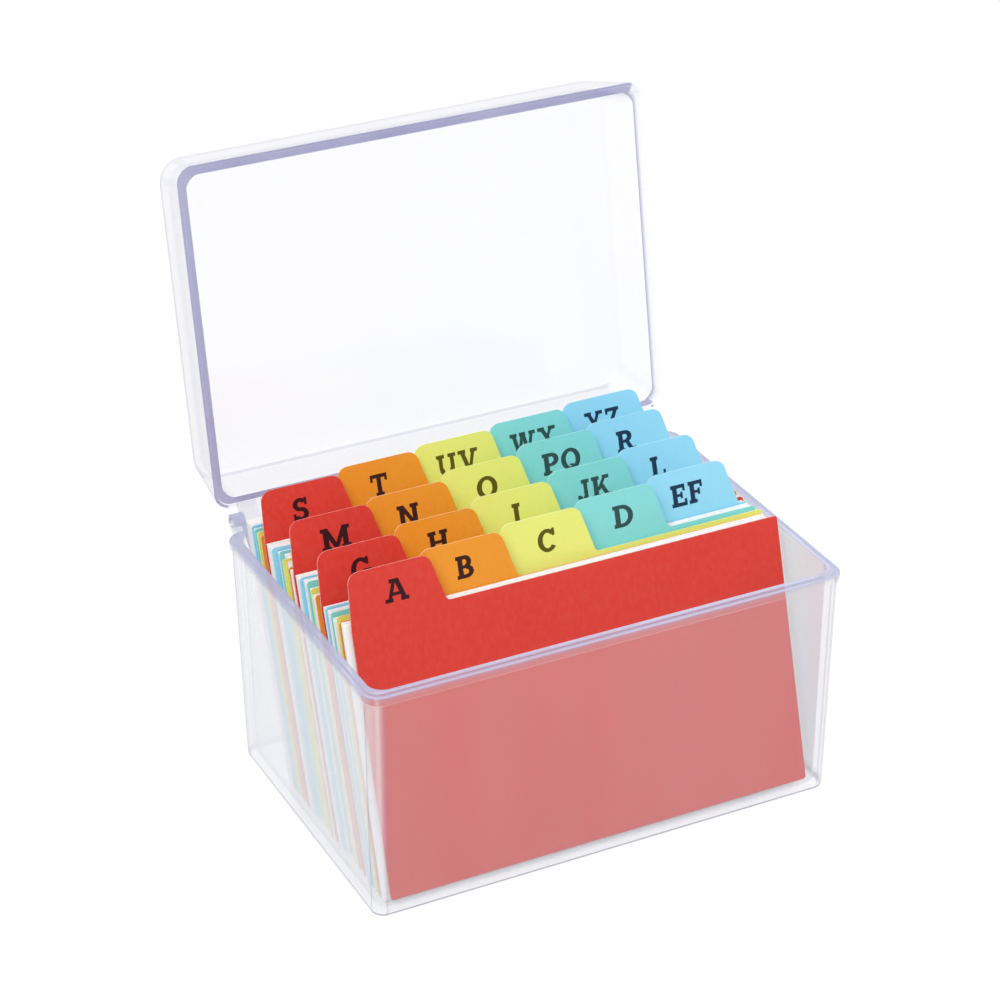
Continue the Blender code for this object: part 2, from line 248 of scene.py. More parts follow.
def add_prism(builder, outline, x_from, x_to):
    """A closed prism along X from points (y, z)."""
    near = [builder.verts.new((x_from, y, z)) for y, z in outline]
    far = [builder.verts.new((x_to, y, z)) for y, z in outline]
    count = len(outline)
    for index in range(count):
        after = (index + 1) % count
        builder.faces.new((near[index], near[after], far[after], far[index]))
    builder.faces.new(list(reversed(near)))
    builder.faces.new(far)


def hull(points):
    """The convex outline of points, anticlockwise."""
    ordered = sorted(set(points))

    def half(chain_points):
        """The convex chain from the first point to the last, without the last."""
        chain = []
        for point in chain_points:
            while len(chain) > 1:
                (ay, az), (by, bz) = chain[-2], chain[-1]
                if (by - ay) * (point[1] - az) - (bz - az) * (point[0] - ay) > 0:
                    break
                chain.pop()
            chain.append(point)
        return chain[:-1]

    return half(ordered) + half(list(reversed(ordered)))


def hinge_circle(radius):
    """Points (y, z) round the hinge line."""
    points = []
    for step in range(HINGE_STEPS):
        angle = math.tau * step / HINGE_STEPS
        points.append((HINGE_Y + radius * math.cos(angle), HINGE_Z + radius * math.sin(angle)))
    return points


def combine(mesh, builder, operation):
    """The mesh joined with, or cut by, the closed shapes of a bmesh."""
    target = bpy.data.objects.new("target", mesh)
    helper = bpy.data.objects.new("helper", to_mesh("helper", builder))
    for thing in (target, helper):
        bpy.context.scene.collection.objects.link(thing)
    modifier = target.modifiers.new("combine", "BOOLEAN")
    modifier.solver = "EXACT"
    modifier.operation = operation
    modifier.object = helper
    bpy.context.view_layer.update()
    graph = bpy.context.evaluated_depsgraph_get()
    result = bpy.data.meshes.new_from_object(target.evaluated_get(graph), depsgraph=graph)
    for thing in (target, helper):
        bpy.data.objects.remove(thing, do_unlink=True)
    return result


# ---------------------------------------------------------------- materials


class Shader:
    """A small builder for a node material."""

    def __init__(self, name):
        self.material = bpy.data.materials.new(name)
        self.material.use_nodes = True
        self.tree = self.material.node_tree
        self.surface = self.tree.nodes["Principled BSDF"]
        self.output = self.tree.nodes["Material Output"]

    def node(self, kind, **inputs):
        """A node whose inputs, by name or place, are values or sockets."""
        made = self.tree.nodes.new(kind)
        for key, value in inputs.items():
            by_place = key[0] == "i" and key[1:].isdigit()
            self.feed(made.inputs[int(key[1:]) if by_place else key.replace("_", " ")], value)
        return made

    def feed(self, socket, value):
        """Give an input a value, or link it to another node's output."""
        if isinstance(value, bpy.types.NodeSocket):
            self.tree.links.new(value, socket)
        else:
            socket.default_value = value

    def set(self, **inputs):
        """Feed the Principled surface's inputs by name."""
        for key, value in inputs.items():
            self.feed(self.surface.inputs[key.replace("_", " ")], value)

    def math(self, operation, first, second=0.0, third=None):
        """The result of one arithmetic step."""
        made = self.tree.nodes.new("ShaderNodeMath")
        made.operation = operation
        self.feed(made.inputs[0], first)
        self.feed(made.inputs[1], second)
        if third is not None:
            self.feed(made.inputs[2], third)
        return made.outputs[0]

    def mix(self, factor, first, second):
        """A colour between two colours."""
        made = self.tree.nodes.new("ShaderNodeMix")
        made.data_type = "RGBA"
        self.feed(made.inputs[0], factor)
        self.feed(made.inputs[6], first)
        self.feed(made.inputs[7], second)
        return made.outputs[2]

    def spread(self, value, low, high, to_low, to_high):
        """value mapped from one range to another and held inside it."""
        made = self.node(
            "ShaderNodeMapRange", Value=value, From_Min=low, From_Max=high, To_Min=to_low, To_Max=to_high
        )
        return made.outputs[0]

    def noise(self, coordinates, scale, detail=3.0, stretch=(1.0, 1.0, 1.0)):
        """Noise from 0 to 1, drawn out along an axis where stretch is low."""
        mapping = self.node("ShaderNodeMapping", Vector=coordinates, Scale=stretch)
        made = self.node("ShaderNodeTexNoise", Vector=mapping.outputs[0], Scale=scale, Detail=detail)
        return made.outputs["Fac"]

    def bump(self, height, strength, distance):
        """A normal tilted by the slope of a height."""
        made = self.node("ShaderNodeBump", Height=height, Strength=strength, Distance=distance)
        return made.outputs[0]

    def place(self):
        """Where a point of the surface is, in metres."""
        return self.node("ShaderNodeTexCoord").outputs["Object"]


def rgba(colour, by=1.0):
    """A colour as a shader input, made lighter or darker by a factor."""
    return (colour[0] * by, colour[1] * by, colour[2] * by, 1.0)


BOARD_FIBRE = (0.95, 0.93, 0.88)


def board_material(name, colour):
    """Coloured guide stock: dyed board with a fine fibre and a soft sheen, paler on its cut edges."""
    shader = Shader("guide_" + name)
    place = shader.place()
    fibre = shader.noise(place, 900.0, 1.5, (1.0, 1.0, 0.45))
    cloud = shader.noise(place, 45.0, 2.0)
    tone = shader.mix(shader.spread(cloud, 0.3, 0.7, 0.0, 1.0), rgba(colour, 0.975), rgba(colour, 1.02))
    tone = shader.mix(shader.spread(fibre, 0.4, 0.75, 0.0, 0.015), tone, rgba(BOARD_FIBRE))
    shader.set(
        Base_Color=tone,
        Roughness=shader.spread(fibre, 0.3, 0.7, 0.50, 0.60),
        IOR=1.38,
    )
    return shader.material


def edge_material(name, colour):
    """The cut edge of a guide: the pale core of the board between its dyed faces."""
    shader = Shader("guide_edge_" + name)
    fibre = shader.noise(shader.place(), 2600.0, 3.0)
    pale = tuple(0.45 * c + 0.50 for c in colour)
    tone = shader.mix(shader.spread(fibre, 0.35, 0.65, 0.0, 1.0), rgba(colour, 1.05), rgba(pale))
    shader.set(Base_Color=tone, Roughness=0.75, Normal=shader.bump(fibre, 0.4, 0.00005))
    return shader.material


def ink_material(name, colour):
    """Printed ink that lets a little of the board's colour through."""
    shader = Shader("ink_on_" + name)
    speck = shader.noise(shader.place(), 3200.0, 3.0)
    tone = shader.mix(shader.spread(speck, 0.5, 0.8, 0.0, 0.3), rgba(colour), rgba(colour, 1.8))
    shader.set(Base_Color=tone, Roughness=shader.spread(speck, 0.3, 0.7, 0.5, 0.7), IOR=1.25)
    return shader.material


# the rules of a card, in metres up the sheet
RULE_PITCH = 0.0071
RULE_WIDTH = 0.00022
RULE_TOP = 0.0635
RULE_STRENGTH = 0.6
RULE_BLUE = (0.42, 0.55, 0.70)
PAPER_DULL = (0.86, 0.86, 0.85)
PAPER_BRIGHT = (0.90, 0.90, 0.89)
PAPER_FIBRE = (0.82, 0.82, 0.82)


def card_material():
    """Uncoated white card with faint rules across it; the sheet's own height is in its UV."""
    shader = Shader("card_stock")
    place = shader.place()
    fibre = shader.noise(place, 1900.0, 4.0)
    cloud = shader.noise(place, 60.0, 2.0)
    height = shader.node("ShaderNodeSeparateXYZ", i0=shader.node("ShaderNodeUVMap").outputs[0]).outputs[1]
    phase = shader.math("MODULO", height, RULE_PITCH)
    on_rule = shader.math("LESS_THAN", phase, RULE_WIDTH)
    below_top = shader.math("LESS_THAN", height, RULE_TOP)
    on_rule = shader.math("MULTIPLY", on_rule, below_top)
    paper = shader.mix(cloud, rgba(PAPER_DULL), rgba(PAPER_BRIGHT))
    paper = shader.mix(shader.spread(fibre, 0.3, 0.7, 0.0, 0.25), paper, rgba(PAPER_FIBRE))
    tone = shader.mix(shader.math("MULTIPLY", on_rule, RULE_STRENGTH), paper, rgba(RULE_BLUE))
    shader.set(
        Base_Color=tone,
        Roughness=shader.spread(fibre, 0.3, 0.7, 0.66, 0.82),
        Normal=shader.bump(fibre, 0.25, 0.00004),
    )
    return shader.material


# the plastic's own tint and what its shadows let through
PLASTIC_TINT = (0.985, 0.985, 1.0)
SHADOW_TINT = (0.95, 0.95, 0.965)
# the colours painted on the plastic: its tint and haze, and painted reflection, highlight and shade; and
# how strong that is on a plain wall
# a pale haze, partly the plastic's own and partly a painted reflection of the white surroundings
HAZE_AND_REFLECTION = (0.72, 0.72, 0.745)
# painted highlight for the upright corners, the foot band, the outside of the left wall and the lid's steps
PAINTED_HIGHLIGHT = (0.90, 0.91, 0.93)
LAVENDER = (0.42, 0.43, 0.59)
LID_LAVENDER = (0.31, 0.295, 0.51)
# painted edge shade: dark lines along the plastic's edges and where it is seen edge-on
PAINTED_EDGE_SHADE = (0.36, 0.36, 0.48)
# painted shade for the inside of the right wall
SHADE = (0.40, 0.40, 0.42)
WALL_HAZE_AND_REFLECTION = 0.075
# how strong it is on the box's rim, the step inside it, the flange under it, the foot (painted edge shade),
# the upright corners (painted highlight), their edges (painted edge shade) and the side walls (painted
# highlight and shade)
RIM_CLOUDING = 0.66
STEP_CLOUDING = 0.58
FLANGE_CLOUDING = 0.40
FOOT_EDGE_SHADE = 0.42
POST_HIGHLIGHT = 0.24
POST_EDGE_SHADE = 0.30
SIDE_LIGHT_AND_SHADE = 0.10
# and on the lid, with the painted highlight on its steps and corners and the painted edge shade on its
# slanted edges
LID_RIM_CLOUDING = 0.80
LID_STEP_HIGHLIGHT = 0.14
LID_EDGE_SHADE = 0.30
LID_FAR_EDGE_SHADE = 0.08
LID_POST_HIGHLIGHT = 0.30
LID_INNER_POST_HIGHLIGHT = 0.06
LID_FAR_SIDE_SHARE = 0.35
SHEEN = 0.022
LOWEST_COSINE = 0.1
TINT_AND_LIGHT_LAYER = "plastic_tint_and_light"


def plastic_material(name):
    """Clear moulded polystyrene: each face shows its painted colour more strongly the more slanted it is
    seen; that colour is the plastic's tint and haze together with painted reflection, highlight and shade.
    """
    shader = Shader(name)
    place = shader.place()
    flow = shader.noise(place, 38.0, 2.0)
    streak = shader.noise(place, 60.0, 1.0, (1.0, 0.4, 0.12))
    scuff = shader.noise(place, 260.0, 2.0, (1.0, 1.0, 0.3))
    ripple = shader.bump(flow, 0.04, 0.0003)
    # the painted colour per corner: the plastic's tint and haze with painted reflection, highlight and
    # shade
    depth = shader.node("ShaderNodeVertexColor")
    depth.layer_name = TINT_AND_LIGHT_LAYER
    facing = shader.node("ShaderNodeLayerWeight", Blend=0.5).outputs["Facing"]
    cosine = shader.math("MAXIMUM", shader.math("SUBTRACT", 1.0, facing), LOWEST_COSINE)
    streaked = shader.math("MULTIPLY", depth.outputs["Alpha"], shader.spread(streak, 0.3, 0.7, 0.9, 1.1))
    clear_share = shader.math("SUBTRACT", 1.0, streaked)
    seen_share = shader.math("POWER", clear_share, shader.math("DIVIDE", 1.0, cosine))
    painted_share = shader.math("SUBTRACT", 1.0, seen_share)
    # painted edge shade where a face is seen edge-on
    at_edge = shader.spread(facing, 0.70, 0.94, 0.0, 1.0)
    shader.set(
        Base_Color=shader.mix(at_edge, depth.outputs["Color"], rgba(PAINTED_EDGE_SHADE)),
        Roughness=0.6,
        IOR=1.0,
    )
    clear = shader.node("ShaderNodeBsdfTransparent", Color=rgba(PLASTIC_TINT))
    body = shader.node("ShaderNodeMixShader")
    shader.feed(body.inputs[0], painted_share)
    shader.feed(body.inputs[1], clear.outputs[0])
    shader.feed(body.inputs[2], shader.surface.outputs[0])
    rough = shader.spread(scuff, 0.5, 0.8, 0.02, 0.12)
    white = (1.0, 1.0, 1.0, 1.0)
    gloss = shader.node("ShaderNodeBsdfAnisotropic", Color=white, Roughness=rough, Normal=ripple)
    mirrored = shader.math("POWER", facing, 5.0)
    mirrored = shader.math("MULTIPLY_ADD", mirrored, 1.0 - SHEEN, SHEEN)
    shown = shader.node("ShaderNodeMixShader")
    shader.feed(shown.inputs[0], mirrored)
    shader.feed(shown.inputs[1], body.outputs[0])
    shader.feed(shown.inputs[2], gloss.outputs[0])
    through = shader.node("ShaderNodeBsdfTransparent", Color=rgba(SHADOW_TINT))
    path = shader.node("ShaderNodeLightPath")
    passes = shader.math("MAXIMUM", path.outputs["Is Shadow Ray"], path.outputs["Is Diffuse Ray"])
    mixed = shader.node("ShaderNodeMixShader")
    shader.feed(mixed.inputs[0], passes)
    shader.feed(mixed.inputs[1], shown.outputs[0])
    shader.feed(mixed.inputs[2], through.outputs[0])
    shader.tree.links.new(mixed.outputs[0], shader.output.inputs["Surface"])
    return shader.material


def blend(first, second, share):
    """A colour between two colours."""
    return tuple(a + (b - a) * share for a, b in zip(first, second))


def paint_tint_and_light(mesh, tint_and_light_at):
    """Write the colour and strength of the plastic's tint, haze and painted light on every corner of every
    face.

    tint_and_light_at takes the face's centre, its normal and the corner, in mm.
    """
    layer = mesh.color_attributes.new(TINT_AND_LIGHT_LAYER, "FLOAT_COLOR", "CORNER")
    for face in mesh.polygons:
        centre = face.center / MM
        for index in face.loop_indices:
            corner = mesh.vertices[mesh.loops[index].vertex_index].co / MM
            colour, strength = tint_and_light_at(centre, face.normal, corner)
            layer.data[index].color = (colour[0], colour[1], colour[2], strength)


def round_corner(point, half_x, half_y, radius):
    """0 on the flat of a wall, 1 halfway round one of its upright corners."""
    across = abs(point.x) - (half_x - radius)
    along = abs(point.y) - (half_y - radius)
    if across <= 0.0 or along <= 0.0:
        return 0.0
    return math.sin(2.0 * math.atan2(along, across))


# ---------------------------------------------------------------- box and lid


def box_half_at(z):
    """Half the width and depth of the box's outer wall at height z, and its corner radius."""
    top = BOX_HEIGHT - FLANGE_DEPTH
    rise = min(z / top, 1.0)
    rim_x = BOX_WIDTH / 2 - FLANGE_OVERHANG
    rim_y = BOX_DEPTH / 2 - FLANGE_OVERHANG
    foot_x = FOOT_WIDTH / 2
    foot_y = FOOT_DEPTH / 2
    neck_radius = CORNER_RADIUS - FLANGE_OVERHANG
    radius = FOOT_CORNER_RADIUS + (neck_radius - FOOT_CORNER_RADIUS) * rise
    return foot_x + (rim_x - foot_x) * rise, foot_y + (rim_y - foot_y) * rise, radius


def box_profile():
    """(inset, z, radius) corners of the box's wall section."""
    ledge_z = BOX_HEIGHT - LEDGE_DROP
    under_z = BOX_HEIGHT - FLANGE_DEPTH
    out = -FLANGE_OVERHANG
    corners = [
        (BASE_ROUND + FLOOR_MARGIN, 0.0, 0.0),
        (0.0, 0.0, BASE_ROUND),
        (0.0, BASE_BAND - BASE_BAND_EDGE, 0.0),
        (0.0, BASE_BAND, 0.0),
        (0.0, under_z, 0.15),
        (out, under_z, 0.3),
        (out, ledge_z, 0.3),
        (out + LEDGE_WIDTH, ledge_z, 0.12),
        (out + LEDGE_WIDTH, BOX_HEIGHT, 0.22),
        (out + RIM_WIDTH, BOX_HEIGHT, 0.3),
        (WALL, FLOOR_THICKNESS, BASE_ROUND),
        (WALL + BASE_ROUND + FLOOR_MARGIN, FLOOR_THICKNESS, 0.0),
    ]
    return fillet(corners, closed=False)


def box_tint_and_light(centre, normal, corner):
    """Lavender tint on the rim, a painted highlight round the upright corners, along the foot band and on
    the left wall, painted edge shade on the foot's fillet and along the corners' edges, painted shade
    inside the right wall, and elsewhere a pale haze that is partly painted reflection.
    """
    ledge_z = BOX_HEIGHT - LEDGE_DROP
    under_z = BOX_HEIGHT - FLANGE_DEPTH
    if centre.z > under_z - 0.1:
        if normal.z > 0.9:
            return LAVENDER, RIM_CLOUDING
        if centre.z > ledge_z - 0.2:
            return LAVENDER, STEP_CLOUDING
        share = min(max((corner.z - under_z) / (ledge_z - under_z), 0.0), 1.0)
        return blend(HAZE_AND_REFLECTION, LAVENDER, share ** 2), WALL_HAZE_AND_REFLECTION + FLANGE_CLOUDING * share ** 4
    # painted edge shade on the foot's lower fillet
    if centre.z < BASE_ROUND and 0.1 < -normal.z < 0.95:
        return PAINTED_EDGE_SHADE, FOOT_EDGE_SHADE
    share = round_corner(corner, *box_half_at(corner.z))
    # painted edge shade along the borders of the upright corners
    if 0.05 < share < 0.35:
        return PAINTED_EDGE_SHADE, POST_EDGE_SHADE
    # painted shade inside the right wall, a painted highlight on the outside of the left wall
    if normal.x < -0.9:
        return SHADE if centre.x > 0.0 else PAINTED_HIGHLIGHT, WALL_HAZE_AND_REFLECTION + SIDE_LIGHT_AND_SHADE
    # a painted highlight along the foot band
    if corner.z < BASE_BAND - BASE_BAND_EDGE / 2:
        share = max(share, 0.9)
    # a painted highlight round the upright corners, over the pale haze
    return blend(HAZE_AND_REFLECTION, PAINTED_HIGHLIGHT, min(share * 2.0, 1.0)), WALL_HAZE_AND_REFLECTION + POST_HIGHLIGHT * share


def build_box(material):
    """The clear box with the ribs across its floor, and its two hinge ears with their sockets."""
    mesh = tray("box_base", box_profile(), box_half_at, INNER_CORNER_GAIN)
    ribs = bmesh.new()
    low_z = FLOOR_THICKNESS - RIB_SUNK
    top_z = FLOOR_THICKNESS + RIB_HEIGHT
    for index in range(RIB_COUNT):
        middle = RIB_FIRST_Y + RIB_PITCH * index
        outline = fillet(
            [
                (middle - RIB_WIDTH / 2, low_z, 0.0),
                (middle + RIB_WIDTH / 2, low_z, 0.0),
                (middle + RIB_WIDTH / 2, top_z, RIB_ROUND),
                (middle - RIB_WIDTH / 2, top_z, RIB_ROUND),
            ]
        )
        add_prism(ribs, outline, -RIB_LENGTH / 2, RIB_LENGTH / 2)
    mesh = combine(mesh, ribs, "UNION")
    ears = bmesh.new()
    outer_x = EAR_INNER_X + EAR_WIDTH
    ear = hull(hinge_circle(EAR_RADIUS) + list(EAR_ROOT))
    add_prism(ears, ear, EAR_INNER_X, outer_x)
    add_prism(ears, ear, -outer_x, -EAR_INNER_X)
    mesh = combine(mesh, ears, "UNION")
    sockets = bmesh.new()
    add_prism(sockets, hinge_circle(SOCKET_RADIUS), EAR_INNER_X - OVERLAP, outer_x + OVERLAP)
    add_prism(sockets, hinge_circle(SOCKET_RADIUS), -outer_x - OVERLAP, -EAR_INNER_X + OVERLAP)
    mesh = combine(mesh, sockets, "DIFFERENCE")
    paint_tint_and_light(mesh, box_tint_and_light)
    box = link("clear_box", mesh, material)
    smooth_by_angle(box, PLASTIC_SMOOTH_DEG)
    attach(box, "box_base")
    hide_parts("box_base")


def lid_half_at(z):
    """Half the width and depth of the closed lid's outer wall at height z, and its corner radius."""
    low = BOX_HEIGHT + LID_GAP
    rise = min(max((z - low) / LID_HEIGHT, 0.0), 1.0)
    radius = CORNER_RADIUS + (LID_PANEL_CORNER_RADIUS - CORNER_RADIUS) * rise
    return LID_WIDTH / 2 - LID_TAPER * rise, LID_DEPTH / 2 - LID_TAPER * rise, radius


def lid_profile():
    """(inset, z, radius) corners of the closed lid's wall section."""
    rim_z = BOX_HEIGHT + LID_GAP
    lip_z = rim_z - LEDGE_DROP
    top_z = rim_z + LID_HEIGHT
    corners = [
        (BASE_ROUND + FLOOR_MARGIN, top_z, 0.0),
        (0.0, top_z, BASE_ROUND),
        (0.0, lip_z, 0.25),
        (LID_LIP_WIDTH, lip_z, 0.2),
        (LID_LIP_WIDTH, rim_z, 0.12),
        (RIM_WIDTH, rim_z, 0.25),
        (WALL, top_z - LID_PANEL, BASE_ROUND),
        (WALL + BASE_ROUND + FLOOR_MARGIN, top_z - LID_PANEL, 0.0),
    ]
    return fillet(corners, closed=False)


def lid_tint_and_light(centre, normal, corner):
    """Lavender tint where the rim faces out of the lid, but a painted highlight on its right-hand strip and
    its steps, painted edge shade on its slanted edges, a painted highlight round the corners, and elsewhere
    a pale haze that is partly painted reflection, fainter on the far side.
    """
    rim_z = BOX_HEIGHT + LID_GAP
    if centre.z < rim_z + 0.5 and abs(centre.y - HINGE_Y) > 5.0:
        half_x, half_y, _ = lid_half_at(rim_z)
        inner = min(half_x - abs(corner.x), half_y - abs(corner.y)) > RIM_WIDTH - 0.6
        # the rim's lavender tint, but a painted highlight on its right-hand strip and on the steps
        if normal.z < -0.9 and (inner or corner.x < half_x - RIM_WIDTH):
            return LID_LAVENDER, LID_RIM_CLOUDING
        return PAINTED_HIGHLIGHT, LID_STEP_HIGHLIGHT
    # painted edge shade on the lid's slanted edges, fainter on its far side
    if 0.3 < normal.z < 0.95:
        return PAINTED_EDGE_SHADE, LID_FAR_EDGE_SHADE if normal.x > 0.2 else LID_EDGE_SHADE
    share = round_corner(corner, *lid_half_at(corner.z))
    half_x, half_y, _ = lid_half_at(centre.z)
    inside = min(half_x - abs(centre.x), half_y - abs(centre.y)) > 0.5
    # the far side walls keep less of the haze and painted reflection
    far_side = centre.x * abs(normal.x) > half_x - 5.0
    painted_strength = WALL_HAZE_AND_REFLECTION * LID_FAR_SIDE_SHARE if far_side else WALL_HAZE_AND_REFLECTION
    # a painted highlight round the lid's corners, fainter on their inner faces
    painted_strength += (LID_INNER_POST_HIGHLIGHT if inside else LID_POST_HIGHLIGHT) * share
    return blend(HAZE_AND_REFLECTION, PAINTED_HIGHLIGHT, min(share * 2.0, 1.0)), painted_strength


def build_lid(material):
    """The clear lid with its hinge arms and pins, made closed and then swung open about the hinge line."""
    mesh = tray("lid", lid_profile(), lid_half_at, -LID_INNER_CORNER_LOSS)
    hinge = Vector((0.0, HINGE_Y, HINGE_Z)) * MM
    fittings = bmesh.new()
    outer_x = EAR_INNER_X - PART_GAP
    arm = hull(hinge_circle(EAR_RADIUS) + list(ARM_ROOT))
    add_prism(fittings, arm, outer_x - ARM_WIDTH, outer_x)
    add_prism(fittings, arm, -outer_x, -outer_x + ARM_WIDTH)
    mesh = combine(mesh, fittings, "UNION")
    pins = bmesh.new()
    add_prism(pins, hinge_circle(PIN_RADIUS), outer_x - OVERLAP, outer_x + PIN_REACH)
    add_prism(pins, hinge_circle(PIN_RADIUS), -outer_x - PIN_REACH, -outer_x + OVERLAP)
    mesh = combine(mesh, pins, "UNION")
    paint_tint_and_light(mesh, lid_tint_and_light)
    turn = Matrix.Rotation(-math.radians(LID_OPEN_DEG), 4, "X")
    mesh.transform(Matrix.Translation(hinge) @ turn @ Matrix.Translation(-hinge))
    lid = link("clear_lid", mesh, material)
    smooth_by_angle(lid, PLASTIC_SMOOTH_DEG)
    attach(lid, "lid")
    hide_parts("lid")


# ---------------------------------------------------------------- letters

# height of a capital, widths of its upright and level strokes, and how the letters are drawn out
CAP = 7.3
STEM = 1.58
BAR = 1.22
LETTER_WIDE = 0.87
LETTER_TALL = 0.84
STRETCH = {
    "A": 1.1, "C": 1.05, "D": 1.08, "G": 1.05, "M": 1.1,
    "O": 1.12, "P": 1.08, "Q": 1.08, "R": 1.04, "T": 0.92,
}


def bar(x0, y0, x1, y1):
    """A level or upright block between two corners."""
    return [(x0, y0), (x1, y0), (x1, y1), (x0, y1)]


def leg(x0, y0, x1, y1, width=STEM):
    """A slanted stroke with level ends."""
    half = width / 2
    return [(x0 - half, y0), (x0 + half, y0), (x1 + half, y1), (x1 - half, y1)]


def bowl(cx, cy, rx, ry, start_deg, stop_deg, wide=STEM, thin=BAR):
    """Part of an oval stroke, wide at its sides and thin at its top and bottom."""
    steps = max(6, int(abs(stop_deg - start_deg) / 11))
    angles = [math.radians(start_deg + (stop_deg - start_deg) * s / steps) for s in range(steps + 1)]
    outer = [(cx + rx * math.cos(a), cy + ry * math.sin(a)) for a in angles]
    inner = [(cx + (rx - wide) * math.cos(a), cy + (ry - thin) * math.sin(a)) for a in angles]
    return outer + list(reversed(inner))


def stem(x, foot=(1.35, 1.35), head=(1.35, 1.35)):
    """An upright stroke, with a slab serif reaching left and right at its foot and head."""
    strokes = [bar(x - STEM / 2, 0.0, x + STEM / 2, CAP)]
    if foot:
        strokes.append(bar(x - foot[0], 0.0, x + foot[1], BAR))
    if head:
        strokes.append(bar(x - head[0], CAP - BAR, x + head[1], CAP))
    return strokes


